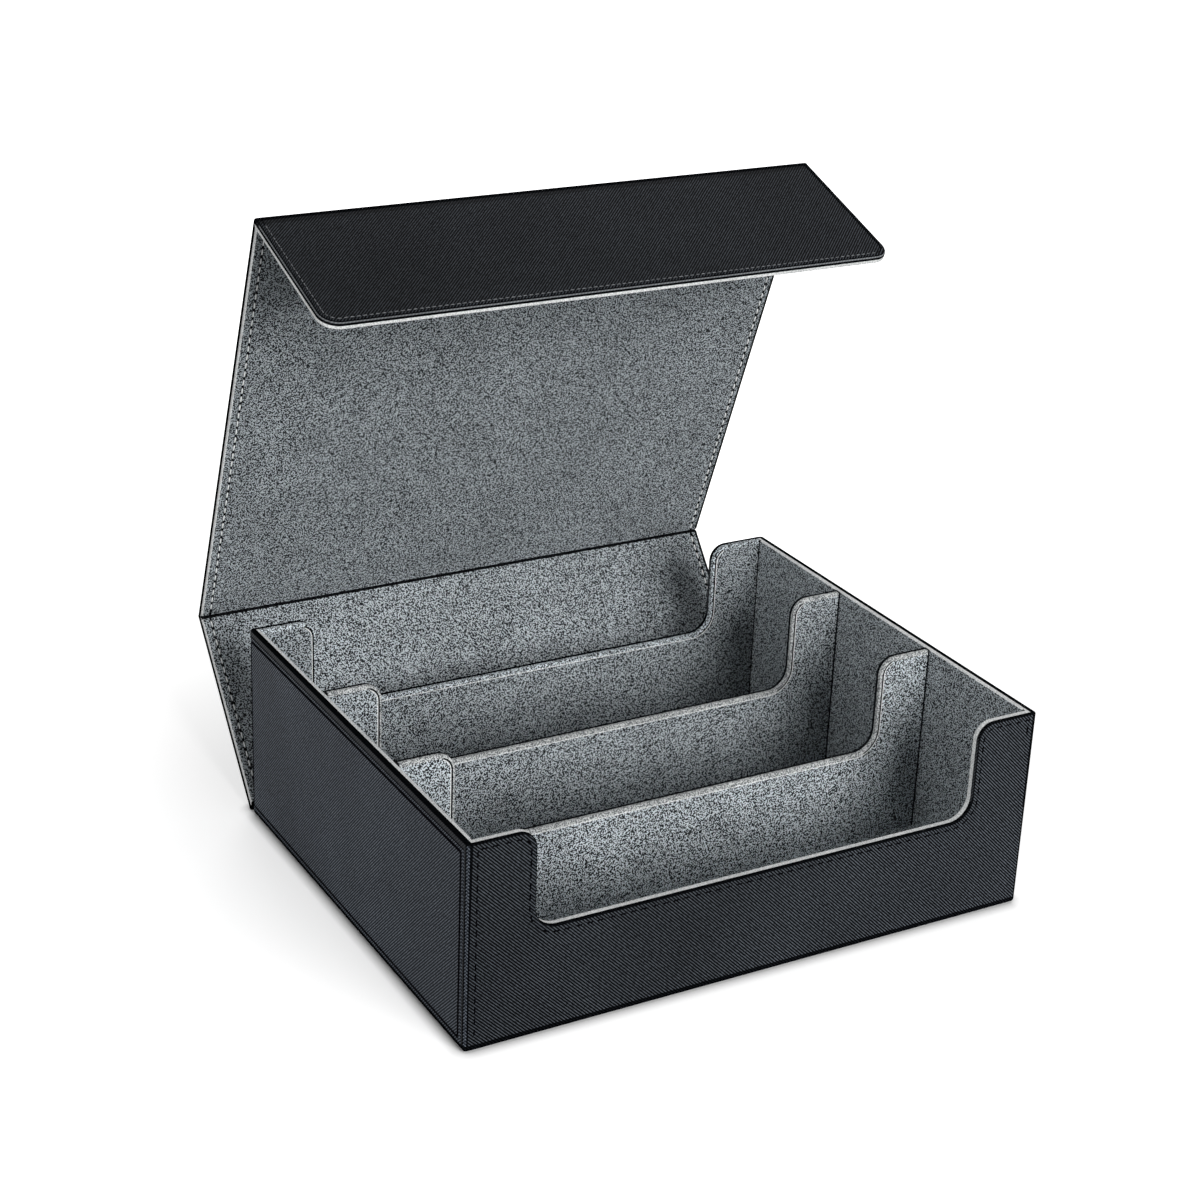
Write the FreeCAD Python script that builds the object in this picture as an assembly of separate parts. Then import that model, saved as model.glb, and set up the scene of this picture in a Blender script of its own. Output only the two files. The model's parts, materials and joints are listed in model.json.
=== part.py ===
import FreeCAD, Part
import math
import os

# A card storage box: a tray with rows for standing cards, inside a folding cover.
# The tray is made of boards, covered outside with coated cloth and inside with napped cloth.
# Its front wall, back wall and dividers share one notch, which leaves a tab at each end.
# The cover is one run of panels hinged on cloth folds: a back, a top and a front flap.
# Its lining is padded, so it is thicker than the tray's.
# The flap shuts against the front wall on magnets that lie in pockets in both boards.
# Units are millimetres and degrees. X runs along the rows, the front faces -Y, and Z is up.
# The origin is the middle of the underside that the box rests on.

# Tray, outside sizes
tray_length = 291.0
tray_depth = 234.0
tray_height = 100.0
corner_radius = 2.5

# Boards and cloths, thicknesses
wall_board = 3.0
base_board = 3.0
divider_board = 2.4
cover_board = 1.4
skin = 0.8
lining = 0.8
cover_lining = 1.8

# Rows for cards, from front to back, and the dividers between them
row_names = ["front", "middle", "rear"]
divider_names = ["front", "rear"]

# The notch that all cross walls share: the height of its low edge, and the tabs beside it
notch_low = 52.0
tab_width = 32.5
tab_radius = 8.5
notch_radius = 11.0
notch_fillet_limit_share = 0.45

# Panels pasted on the tray's ends, over the returned ends of the front and back skins
side_panel = 0.6
panel_front_margin = 5.0
panel_top_margin = 5.0
panel_base_margin = 5.5
panel_radius = 1.5
skin_return = 12.0
underside_edge_radius = 0.4

# Folding cover
cover_overhang = 0.5
cover_gap = 0.5
flap_overlap = 30.0
flap_radius = 9.0
fold_floor_gap = 0.3
fold_clearance = 0.3
board_fold_gap = 0.7
spine_end_radius = 0.8

# Magnets in the flap and in the front wall
magnet_count = 4
magnet_pitch = 66.0
magnet_radius = 6.0
magnet_thickness = 1.0
magnet_clearance = 0.1

# How the cover stands open: the back leans from upright, the top rises and the flap drops from level
back_lean = 40.0
top_rise = 69.6
flap_drop = 19.0

# Every cut runs this far past the piece that it cuts
overrun = 5.0

# Places worked out from the sizes above
half_length = tray_length / 2
half_depth = tray_depth / 2
cover_width = tray_length + 2 * cover_overhang
cover_half = cover_width / 2
wall = skin + wall_board + lining
divider = divider_board + 2 * lining
cover = skin + cover_board + cover_lining
board_half_length = half_length - skin
board_half_depth = half_depth - skin
cross_half_length = board_half_length - wall_board
room_half_length = half_length - wall
room_half_depth = half_depth - wall
row_width = (2 * room_half_depth - len(divider_names) * divider) / len(row_names)
row_pitch = row_width + divider
floor_bottom = skin + base_board
floor_top = floor_bottom + lining

notch_half = half_length - tab_width
notch_fillet_limit = notch_fillet_limit_share * (tray_height - notch_low)
tab_fillet = min(tab_radius, notch_fillet_limit)
notch_fillet = min(notch_radius, notch_fillet_limit)

spine_radius = cover / 2
fold_height = spine_radius + fold_floor_gap
base_fold_y = half_depth + cover_gap + spine_radius
shut_fold_height = tray_height + cover_gap + spine_radius
back_length = shut_fold_height - fold_height
top_length = 2 * base_fold_y
flap_length = shut_fold_height - notch_low + flap_overlap
board_setback = spine_radius + fold_clearance + board_fold_gap
back_angle = 90 - back_lean
top_angle = 180 - top_rise
flap_angle = 180 + flap_drop

across = FreeCAD.Vector(1, 0, 0)
front_to_back = FreeCAD.Vector(0, 1, 0)


def along(start, length, angle):
    """The point a length away from start, in the YZ plane, at an angle from +Y towards +Z."""
    turn = math.radians(angle)
    return FreeCAD.Vector(0, start.y + length * math.cos(turn), start.z + length * math.sin(turn))


base_fold = FreeCAD.Vector(0, base_fold_y, fold_height)
rear_fold = along(base_fold, back_length, back_angle)
front_fold = along(rear_fold, top_length, top_angle)


# Helpers

def block(low, high):
    """A box between two corners."""
    size = [b - a for a, b in zip(low, high)]
    return Part.makeBox(*size, FreeCAD.Vector(*low))


def rounded_block(half_x, half_y, radius, bottom, top):
    """An upright prism on a rectangle with round corners, centred on the Z axis."""
    solid = block((-half_x, -half_y, bottom), (half_x, half_y, top))
    upright = [e for e in solid.Edges if e.BoundBox.XLength + e.BoundBox.YLength < e.BoundBox.ZLength]
    return solid.makeFillet(radius, upright)


def arc(centre_u, centre_v, radius, start, end):
    """Three points of an arc in a plane, at its start, middle and end angles."""
    angles = [math.radians(a) for a in (start, (start + end) / 2, end)]
    return [(centre_u + radius * math.cos(a), centre_v + radius * math.sin(a)) for a in angles]


def face_of(steps, to_vector):
    """A face from an outline of points and arcs, in the plane that to_vector maps to space."""
    edges = []
    here = to_vector(*steps[0])
    for step in steps[1:] + steps[:1]:
        points = [to_vector(*p) for p in (step if isinstance(step, list) else [step])]
        edges.append(Part.LineSegment(here, points[0]).toShape())
        if len(points) > 1:
            edges.append(Part.Arc(*points).toShape())
        here = points[-1]
    return Part.Face(Part.Wire(edges))


def notched_wall(half_x, bottom, inset, low_y, high_y):
    """A cross wall between two Y planes, with the shared notch; inset draws its top outline in."""
    top = tray_height - inset
    low = notch_low - inset
    edge = notch_half + inset
    outer = tab_fillet - inset
    inner = notch_fillet + inset
    outline = [
        (-half_x, bottom),
        (-half_x, top),
        arc(-edge - outer, top - outer, outer, 90, 0),
        arc(-edge + inner, low + inner, inner, 180, 270),
        arc(edge - inner, low + inner, inner, 270, 360),
        arc(edge + outer, top - outer, outer, 180, 90),
        (half_x, top),
        (half_x, bottom),
    ]
    face = face_of(outline, lambda x, z: FreeCAD.Vector(x, low_y, z))
    return face.extrude(FreeCAD.Vector(0, high_y - low_y, 0))


def mirrored(shape, normal):
    """The same piece on the other side of the tray."""
    return shape.mirror(FreeCAD.Vector(0, 0, 0), normal)


# Tray

def make_base_skin(spine):
    """The coated cloth under the tray, with a lip that reaches the fold behind it."""
    sheet = rounded_block(half_length, half_depth, corner_radius, 0, skin)
    lip = block((-half_length, half_depth - corner_radius, 0), (half_length, base_fold_y, skin))
    sheet = sheet.fuse(lip).removeSplitter()
    rim = [e for e in sheet.Edges if e.BoundBox.ZMax < skin / 2 and e.BoundBox.YMin < half_depth]
    return sheet.makeFillet(underside_edge_radius, rim).cut(spine)


def make_base_board():
    """The board that the walls and dividers stand on."""
    return rounded_block(board_half_length, board_half_depth, corner_radius - skin, skin, floor_bottom)


def make_end_board():
    """The left end's board, which runs the whole depth between the front and back skins."""
    outer = rounded_block(board_half_length, board_half_depth, corner_radius - skin, floor_bottom,
                          tray_height - skin)
    return outer.cut(block((-cross_half_length, -half_depth, 0), (half_length, half_depth, tray_height)))


def make_cross_board():
    """The front wall's board, between the end boards."""
    return notched_wall(cross_half_length, floor_bottom, lining, -board_half_depth,
                        wall_board - board_half_depth)


def make_skin_ring():
    """The skin round all four sides of the tray, before it is parted into its pieces."""
    outer = rounded_block(half_length, half_depth, corner_radius, skin, tray_height)
    inner = rounded_block(board_half_length, board_half_depth, corner_radius - skin, 0,
                          tray_height + overrun)
    return outer.cut(inner)


def make_cross_skin(ring):
    """The front wall's skin: its face follows the notch, and its ends return on to the tray's ends."""
    reach = half_length + overrun
    zone = block((-reach, -half_depth, 0), (reach, skin_return - half_depth, tray_height))
    face_half = half_length - corner_radius
    front = -half_depth - overrun
    whole = block((-face_half, front, 0), (face_half, -board_half_depth, tray_height + overrun))
    notch = whole.cut(notched_wall(face_half, -overrun, 0, front, -board_half_depth))
    return ring.common(zone).cut(notch)


def make_end_skin(ring):
    """The left end's skin, turned over the outer half of the wall's top."""
    reach = half_depth - skin_return
    sheet = ring.common(block((-half_length, -reach, 0), (-room_half_length, reach, tray_height)))
    turn_in = block((-board_half_length, -board_half_depth, tray_height - skin),
                    (wall_board / 2 - board_half_length, board_half_depth, tray_height))
    corners = rounded_block(board_half_length, board_half_depth, corner_radius - skin, 0, tray_height)
    return sheet.fuse(turn_in.common(corners)).removeSplitter()


def make_end_panel():
    """The panel pasted on the left end, with round corners at the front."""
    low = (-half_length - side_panel, panel_front_margin - half_depth, panel_base_margin)
    high = (-half_length, half_depth - corner_radius, tray_height - panel_top_margin)
    solid = block(low, high)
    corners = [e for e in solid.Edges if e.BoundBox.YMax < 0 and e.BoundBox.ZLength < e.BoundBox.XLength]
    return solid.makeFillet(panel_radius, corners)


def make_end_lining():
    """The left end's lining, turned over the inner half of the wall's top."""
    sheet = block((-cross_half_length, -room_half_depth, floor_bottom),
                  (-room_half_length, room_half_depth, tray_height))
    turn_in = block((wall_board / 2 - board_half_length, -board_half_depth, tray_height - skin),
                    (-cross_half_length, board_half_depth, tray_height))
    return sheet.fuse(turn_in).removeSplitter()


def make_cross_lining():
    """The front wall's lining: the inner face, turned over the whole top of the board."""
    whole = notched_wall(cross_half_length, floor_bottom, 0, -board_half_depth, -room_half_depth)
    hidden = notched_wall(cross_half_length + overrun, -overrun, lining, -half_depth,
                          -room_half_depth - lining)
    return whole.cut(hidden)


def make_divider(middle_y):
    """A divider's board, and the lining that wraps its two faces and its top."""
    half_board = divider_board / 2
    half = divider / 2
    core = notched_wall(room_half_length, floor_bottom, lining, middle_y - half_board,
                        middle_y + half_board)
    whole = notched_wall(room_half_length, floor_bottom, 0, middle_y - half, middle_y + half)
    return core, whole.cut(core)


def make_row_floor(row):
    """The lining on the floor of one row, counted from the front."""
    low_y = row * row_pitch - room_half_depth
    return block((-room_half_length, low_y, floor_bottom), (room_half_length, low_y + row_width, floor_top))


# Cover. A panel is drawn lying flat: it runs along Y from its lower fold, and its inside faces +Z.

def panel_sheet(half_x, start, end, radius, bottom, top):
    """A flat sheet between two Y planes; a radius above zero rounds its two far corners."""
    solid = block((-half_x, start, bottom), (half_x, end, top))
    if radius == 0:
        return solid
    middle = (start + end) / 2
    far = [e for e in solid.Edges if e.BoundBox.YMin > middle and e.BoundBox.XLength < e.BoundBox.ZLength]
    return solid.makeFillet(radius, far)


def fold_cutter(place, clearance, way):
    """What a fold takes from a panel's end: room for its spine, and a mitre so that it can close square."""
    reach = cover_half + overrun
    spine = Part.makeCylinder(spine_radius + clearance, 2 * reach, FreeCAD.Vector(-reach, place, 0), across)
    high = spine_radius + overrun
    mitre = [(fold_clearance, 0), (high + fold_clearance, high), (-overrun, high), (-overrun, 0)]
    face = face_of(mitre, lambda u, n: FreeCAD.Vector(-reach, place + way * u, n))
    return spine.fuse(face.extrude(FreeCAD.Vector(2 * reach, 0, 0)))


def make_panel(length, far_fold, radius):
    """A cover panel's skin, board and lining. The skin wraps the board's edges and a free end."""
    outside = -cover / 2
    inside = cover / 2 - cover_lining
    board_half = cover_half - skin
    board_end = length - board_setback if far_fold else length - skin
    hollow_end = length + overrun if far_fold else length - skin
    hollow_radius = radius - skin if radius > skin else 0
    board = panel_sheet(board_half, board_setback, board_end, hollow_radius, outside + skin, inside)
    hollow = panel_sheet(board_half, -overrun, hollow_end, hollow_radius, outside + skin, inside + overrun)
    shell = panel_sheet(cover_half, 0, length, radius, outside, inside).cut(hollow)
    sheet = panel_sheet(cover_half, 0, length, radius, inside, cover / 2)
    cutters = [fold_cutter(0, fold_clearance, 1)]
    if far_fold:
        cutters.append(fold_cutter(length, 0, -1))
    for cutter in cutters:
        shell = shell.cut(cutter)
        sheet = sheet.cut(cutter)
    return shell, board, sheet


def make_spine(centre):
    """The rolled cloth along a fold, on the fold's own axis."""
    start = FreeCAD.Vector(-cover_half, centre.y, centre.z)
    solid = Part.makeCylinder(spine_radius, cover_width, start, across)
    return solid.makeFillet(spine_end_radius, [e for e in solid.Edges if e.Closed])


def stood(shape, fold, angle):
    """A flat panel, or a piece of one, turned up to its angle at its fold."""
    shape.Placement = FreeCAD.Placement(fold, FreeCAD.Rotation(across, angle)).multiply(shape.Placement)
    return shape


# Magnets. They lie half way down the band where the shut flap overlaps the front wall.

def discs(radius, y, z, direction):
    """A disc at every magnet's place along X, with its base at y and z."""
    first = -(magnet_count - 1) * magnet_pitch / 2
    places = [first + k * magnet_pitch for k in range(magnet_count)]
    return Part.makeCompound([Part.makeCylinder(radius, magnet_thickness, FreeCAD.Vector(x, y, z), direction)
                              for x in places])


def make_magnets(y, z, direction):
    """A row of magnets, and the pockets that take them."""
    return discs(magnet_radius, y, z, direction), discs(magnet_radius + magnet_clearance, y, z, direction)


def make_tray(spine):
    """All the tray's pieces by name."""
    magnets, pockets = make_magnets(-board_half_depth, notch_low - flap_overlap / 2, front_to_back)
    ring = make_skin_ring()
    cross_board = make_cross_board()
    cross_skin = make_cross_skin(ring)
    cross_lining = make_cross_lining()
    pieces = {
        "base_skin": make_base_skin(spine),
        "base_board": make_base_board(),
        "front_wall_board": cross_board.cut(pockets),
        "front_wall_skin": cross_skin,
        "front_wall_lining": cross_lining,
        "front_wall_magnets": magnets,
        "back_wall_board": mirrored(cross_board, front_to_back),
        "back_wall_skin": mirrored(cross_skin, front_to_back),
        "back_wall_lining": mirrored(cross_lining, front_to_back),
    }
    end_pieces = {
        "wall_board": make_end_board(),
        "wall_skin": make_end_skin(ring),
        "wall_lining": make_end_lining(),
        "side_panel": make_end_panel(),
    }
    for name, piece in end_pieces.items():
        pieces["left_" + name] = piece
        pieces["right_" + name] = mirrored(piece, across)
    for row, name in enumerate(row_names):
        pieces[name + "_row_floor_lining"] = make_row_floor(row)
    for k, name in enumerate(divider_names):
        board, wrap = make_divider((k + 1) * row_pitch - divider / 2 - room_half_depth)
        pieces[name + "_divider_board"] = board
        pieces[name + "_divider_lining"] = wrap
    return pieces


def make_cover():
    """All the moving pieces of the cover by name."""
    panels = [
        ("back_panel", back_length, True, 0, base_fold, back_angle),
        ("top_panel", top_length, True, 0, rear_fold, top_angle),
        ("flap", flap_length, False, flap_radius, front_fold, flap_angle),
    ]
    flap_inside = cover / 2 - cover_lining
    magnets, pockets = make_magnets(flap_length - flap_overlap / 2, flap_inside, FreeCAD.Vector(0, 0, -1))
    pieces = {"flap_magnets": stood(magnets, front_fold, flap_angle)}
    for name, length, far_fold, radius, fold, angle in panels:
        shell, board, sheet = make_panel(length, far_fold, radius)
        if name == "flap":
            board = board.cut(pockets)
        pieces[name + "_skin"] = stood(shell, fold, angle)
        pieces[name + "_board"] = stood(board, fold, angle)
        pieces[name + "_lining"] = stood(sheet, fold, angle)
    pieces["rear_fold_spine"] = make_spine(rear_fold)
    pieces["front_fold_spine"] = make_spine(front_fold)
    return pieces


def main():
    os.makedirs("parts", exist_ok=True)
    spine = make_spine(base_fold)
    pieces = {"base_fold_spine": spine, **make_tray(spine), **make_cover()}
    for name, shape in pieces.items():
        if not shape.isValid():
            print("not valid:", name)
        shape.exportStep(os.path.join("parts", name + ".step"))
    print(len(pieces), "pieces; each row is", round(row_width, 2), "wide")
    for name, fold in (("base", base_fold), ("rear", rear_fold), ("front", front_fold)):
        print(name, "fold at y", round(fold.y, 3), "z", round(fold.z, 3))


main()
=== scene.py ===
# %% [markdown]
# A card box with a folding cover
#
# This box is a shallow tray of boards, dressed outside in black coated cloth and inside in grey napped
# cloth. A cover of three panels folds over it: a back, a top and a front flap that shuts on hidden magnets.
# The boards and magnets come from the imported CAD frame. This lesson models the cloth over them, which is
# what the eye meets: turned edges, pressed seams with stitches, and the rolled cloth that bends at each
# fold. All lengths are metres, in the CAD frame: X runs along the rows, the front faces -Y, and Z is up.

# %% The frame
import json
import math
import random

import bmesh
import bpy
from mathutils import Matrix, Vector


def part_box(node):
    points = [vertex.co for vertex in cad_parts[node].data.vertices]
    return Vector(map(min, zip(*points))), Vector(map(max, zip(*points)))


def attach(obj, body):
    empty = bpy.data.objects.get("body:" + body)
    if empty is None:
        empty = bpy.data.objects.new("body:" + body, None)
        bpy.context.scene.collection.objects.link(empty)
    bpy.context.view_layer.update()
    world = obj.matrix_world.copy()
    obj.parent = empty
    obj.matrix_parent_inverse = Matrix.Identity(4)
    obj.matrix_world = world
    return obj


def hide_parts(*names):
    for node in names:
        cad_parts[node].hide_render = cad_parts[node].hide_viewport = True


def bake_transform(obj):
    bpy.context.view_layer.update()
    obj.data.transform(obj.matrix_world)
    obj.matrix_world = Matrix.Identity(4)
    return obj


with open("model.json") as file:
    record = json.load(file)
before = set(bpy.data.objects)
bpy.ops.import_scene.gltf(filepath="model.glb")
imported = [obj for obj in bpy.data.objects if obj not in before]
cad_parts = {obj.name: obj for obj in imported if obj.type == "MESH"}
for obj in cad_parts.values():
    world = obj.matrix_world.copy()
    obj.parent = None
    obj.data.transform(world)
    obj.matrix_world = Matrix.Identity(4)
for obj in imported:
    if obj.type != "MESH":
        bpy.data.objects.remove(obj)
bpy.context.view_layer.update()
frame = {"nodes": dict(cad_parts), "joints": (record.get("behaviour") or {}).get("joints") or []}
nodes = frame["nodes"]
MM = 0.001

# %% [markdown]
# The camera stands a little left of the front and above the box, and is turned slightly about its own line
# of sight. A long lens keeps the sides nearly parallel, as a catalogue picture does. The three directions
# of the view make a rotation matrix, which is surer than turning a camera by hand angle by angle.

# %% Camera
IMAGE_SIDE = 1200
FOCAL_PIXELS = 2497.1
EYE = Vector((-0.54772, -0.90564, 0.5965))
azimuth, elevation, roll = (math.radians(a) for a in (-30.21, 23.57, 2.41))
flat = math.cos(elevation)
forward = Vector((-math.sin(azimuth) * flat, math.cos(azimuth) * flat, -math.sin(elevation)))
level = Vector((math.cos(azimuth), math.sin(azimuth), 0))
upward = level.cross(forward)
right = level * math.cos(roll) + upward * math.sin(roll)
up = upward * math.cos(roll) - level * math.sin(roll)

bpy.ops.object.select_all(action="DESELECT")
bpy.ops.object.camera_add(location=EYE)
camera = bpy.context.object
camera.rotation_euler = Matrix((right, up, -forward)).transposed().to_euler()
camera.data.sensor_fit = "HORIZONTAL"
camera.data.lens = camera.data.sensor_width * FOCAL_PIXELS / IMAGE_SIDE
camera.data.clip_start = 0.01
bpy.context.scene.camera = camera
print("lens of", round(camera.data.lens, 1), "mm")

# %% [markdown]
# The box stands on a white floor under soft studio light. The world and the floor look plain white to the
# camera and in reflections, and the lamps light the box at a plain level. The floor keeps part of its own
# shading near the box, so the box still throws a faint shadow. Three large lamps make the light: the main
# one in front, one on the left for the end of the tray, and a low one behind, so that the back shows its
# weave too.

# %% World and floor
AMBIENT = 0.2
FLOOR_SHADE = {"From Min": 0.2, "From Max": 0.46, "To Min": 0.5, "To Max": 1.0}
CONTACT_REACH = 6 * MM


def new_nodes(tree, *kinds):
    """New shader nodes of the given kinds."""
    return [tree.nodes.new("ShaderNode" + kind) for kind in kinds]


def seen_directly(tree):
    """1 for rays from the camera, or by way of gloss or glass, and 0 for the light that spreads."""
    rays = tree.nodes.new("ShaderNodeLightPath")
    value = rays.outputs["Is Camera Ray"]
    for kind in ("Is Glossy Ray", "Is Transmission Ray"):
        either = tree.nodes.new("ShaderNodeMath")
        either.operation = "MAXIMUM"
        tree.links.new(value, either.inputs[0])
        tree.links.new(rays.outputs[kind], either.inputs[1])
        value = either.outputs[0]
    return value


world = bpy.data.worlds.new("studio")
world.use_nodes = True
bpy.context.scene.world = world
strength = world.node_tree.nodes.new("ShaderNodeMath")
strength.operation = "MULTIPLY_ADD"
strength.inputs[1].default_value = 1 - AMBIENT
strength.inputs[2].default_value = AMBIENT
backdrop = world.node_tree.nodes["Background"]
backdrop.inputs["Color"].default_value = (1, 1, 1, 1)
world.node_tree.links.new(seen_directly(world.node_tree), strength.inputs[0])
world.node_tree.links.new(strength.outputs[0], backdrop.inputs["Strength"])

floor_paint = bpy.data.materials.new("studio_floor")
floor_paint.use_nodes = True
tree = floor_paint.node_tree
tree.nodes.remove(tree.nodes["Principled BSDF"])
matt, bright_matt, glow, lit, choose = new_nodes(
    tree, "BsdfDiffuse", "BsdfDiffuse", "Emission", "AddShader", "MixShader")
matt.inputs["Color"].default_value = (0.4, 0.4, 0.4, 1)
bright_matt.inputs["Color"].default_value = (0.9, 0.9, 0.9, 1)
spot, reach, distance = new_nodes(tree, "TexCoord", "MapRange", "VectorMath")
distance.operation = "LENGTH"
reach.interpolation_type = "SMOOTHSTEP"
for socket, value in FLOOR_SHADE.items():
    reach.inputs[socket].default_value = value
tree.links.new(spot.outputs["Object"], distance.inputs[0])
tree.links.new(distance.outputs["Value"], reach.inputs["Value"])
# Near the box the floor's glow is lowered so that the lamps' shadow shows. Ambient occlusion dims it further
# where the box stands on it, which is a painted contact shadow.
painted_contact_shadow, near_box, dim = new_nodes(tree, "AmbientOcclusion", "MapRange", "Math")
painted_contact_shadow.inputs["Distance"].default_value = CONTACT_REACH
near_box.inputs["From Min"].default_value = 0.45
dim.operation = "MULTIPLY"
tree.links.new(painted_contact_shadow.outputs["AO"], near_box.inputs["Value"])
tree.links.new(reach.outputs["Result"], dim.inputs[0])
tree.links.new(near_box.outputs["Result"], dim.inputs[1])
tree.links.new(dim.outputs["Value"], glow.inputs["Strength"])
tree.links.new(bright_matt.outputs[0], lit.inputs[0])
tree.links.new(glow.outputs[0], lit.inputs[1])
tree.links.new(seen_directly(tree), choose.inputs[0])
tree.links.new(matt.outputs[0], choose.inputs[1])
tree.links.new(lit.outputs[0], choose.inputs[2])
tree.links.new(choose.outputs[0], tree.nodes["Material Output"].inputs["Surface"])

bpy.ops.object.select_all(action="DESELECT")
bpy.ops.mesh.primitive_plane_add(size=9)
floor = bpy.context.object
floor.name = "studio_floor"
floor.data.materials.append(floor_paint)
bpy.context.scene.view_settings.view_transform = "Standard"
print("floor of", floor.dimensions.x, "m")

# %% Lamps
AIM = Vector((0, 0, 0.12))


def softbox(name, place, side, watts):
    """A square lamp that faces the box."""
    bpy.ops.object.light_add(type="AREA", location=place)
    lamp = bpy.context.object
    lamp.name = name
    lamp.data.size = side
    lamp.data.energy = watts
    lamp.rotation_euler = (AIM - Vector(place)).to_track_quat("-Z", "Y").to_euler()


softbox("front_lamp", (0.24, -2.68, 1.2), 1.5, 75)
softbox("left_lamp", (-2.6, -0.35, 0.75), 1.2, 22)
softbox("rear_lamp", (0.8, 2.5, 0.65), 1.2, 30)
print(len(bpy.data.lights), "lamps")

# %% [markdown]
# The coated cloth is a twill: fine ribs that climb across the cloth at 45 degrees, pressed into a satin
# coating. One wave texture along the diagonal of the piece's own UV map gives the ribs, and a finer one
# across them breaks each rib into threads. The same height drives the colour, the gloss and the bump, so
# all three agree. The coating is never quite even, so its tone varies in soft clouds. Its tone also grows
# paler along the box towards +X, which is painted light. One function makes every tone: the tray, a darker
# copy for the cover that paints shade, a paler copy for the end panels that paints light, a near-black copy
# that paints the shade on turned edges, rounds, the foot and the folds, a shaded copy beside the folds, and
# pale copies that paint highlights on the ridges, the left corners and the flap's edge.

# %% Coated cloth
RIB_PITCH = 1.15 * MM
THREAD_PITCH = 0.85 * MM
DIAGONAL_PERIOD = 0.4443  # width of one band of a diagonal wave at scale 1
COAT_GRAIN, COAT_CLOUDS = 700, 16
COAT_LIGHT_SLOPE = 1.6
COAT_RELIEF = 0.12 * MM


def new_finish(name):
    """A material with a Principled shader, and short ways to its nodes and links."""
    finish = bpy.data.materials.new(name)
    finish.use_nodes = True
    return finish, finish.node_tree.nodes, finish.node_tree.links


def noise(nodes, links, where, scale, detail, rough=0.55):
    """A noise texture on the given coordinates."""
    cloud = nodes.new("ShaderNodeTexNoise")
    cloud.inputs["Scale"].default_value = scale
    cloud.inputs["Detail"].default_value = detail
    cloud.inputs["Roughness"].default_value = rough
    links.new(where, cloud.inputs["Vector"])
    return cloud.outputs["Fac"]


def ramp(nodes, links, value, stops):
    """Colours along a value; stops are (place, grey) or (place, (r, g, b))."""
    bar = nodes.new("ShaderNodeValToRGB")
    while len(bar.color_ramp.elements) < len(stops):
        bar.color_ramp.elements.new(0.5)
    for element, (place, colour) in zip(bar.color_ramp.elements, stops):
        element.position = place
        element.color = (*colour, 1) if isinstance(colour, tuple) else (colour, colour, colour, 1)
    links.new(value, bar.inputs["Fac"])
    return bar.outputs["Color"]


def weighed(nodes, links, value, weight, plus):
    """value times weight plus another value."""
    sum_node = nodes.new("ShaderNodeMath")
    sum_node.operation = "MULTIPLY_ADD"
    links.new(value, sum_node.inputs[0])
    sum_node.inputs[1].default_value = weight
    if isinstance(plus, (int, float)):
        sum_node.inputs[2].default_value = plus
    else:
        links.new(plus, sum_node.inputs[2])
    return sum_node.outputs[0]


def times(nodes, links, colour, other):
    """Two colours multiplied."""
    mix = nodes.new("ShaderNodeMix")
    mix.data_type = "RGBA"
    mix.blend_type = "MULTIPLY"
    mix.inputs["Factor"].default_value = 1
    links.new(colour, mix.inputs["A"])
    links.new(other, mix.inputs["B"])
    return mix.outputs["Result"]


def bump(nodes, links, height, depth, amount):
    """A bump of a real depth in metres, for the shader's normal."""
    relief = nodes.new("ShaderNodeBump")
    relief.inputs["Strength"].default_value = amount
    relief.inputs["Distance"].default_value = depth
    links.new(height, relief.inputs["Height"])
    return relief.outputs["Normal"]


def bands(nodes, links, where, pitch, wander):
    """Diagonal bands of a given pitch on flat coordinates."""
    wave = nodes.new("ShaderNodeTexWave")
    wave.bands_direction = "DIAGONAL"
    wave.inputs["Scale"].default_value = DIAGONAL_PERIOD / pitch
    wave.inputs["Distortion"].default_value = wander
    wave.inputs["Detail"].default_value = 1
    links.new(where, wave.inputs["Vector"])
    return wave.outputs["Fac"]


def make_coated_cloth(name, low, high, gloss_level=0.03):
    """Satin twill between a groove colour and a rib colour."""
    finish, nodes, links = new_finish(name)
    shader = nodes["Principled BSDF"]
    place = nodes.new("ShaderNodeTexCoord")
    turned = nodes.new("ShaderNodeMapping")
    turned.inputs["Rotation"].default_value = (0, 0, math.pi / 2)
    links.new(place.outputs["UV"], turned.inputs["Vector"])
    ribs = bands(nodes, links, place.outputs["UV"], RIB_PITCH, 0.5)
    threads = bands(nodes, links, turned.outputs["Vector"], THREAD_PITCH, 0.8)
    grain = noise(nodes, links, place.outputs["Object"], COAT_GRAIN, 2)
    height = weighed(nodes, links, grain, 0.7, -0.35)
    height = weighed(nodes, links, threads, 0.18, height)
    height = weighed(nodes, links, ribs, 0.82, height)
    tint = ramp(nodes, links, height, [(0.55, low), (0.93, high)])
    broad = noise(nodes, links, place.outputs["Object"], COAT_CLOUDS, 2)
    # The tone grows paler towards +X along the box, a painted gradient of light mixed with the clouds.
    along = nodes.new("ShaderNodeSeparateXYZ")
    links.new(place.outputs["Object"], along.inputs[0])
    cloud_and_light_drift = weighed(nodes, links, along.outputs["X"], COAT_LIGHT_SLOPE, broad)
    cast = ramp(nodes, links, cloud_and_light_drift, [(0.2, 0.62), (0.8, 1.0)])
    links.new(times(nodes, links, tint, cast), shader.inputs["Base Color"])
    gloss = weighed(nodes, links, height, -0.16, 0.62)
    links.new(gloss, shader.inputs["Roughness"])
    links.new(bump(nodes, links, height, COAT_RELIEF, 0.7), shader.inputs["Normal"])
    shader.inputs["Specular IOR Level"].default_value = gloss_level
    return finish


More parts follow.
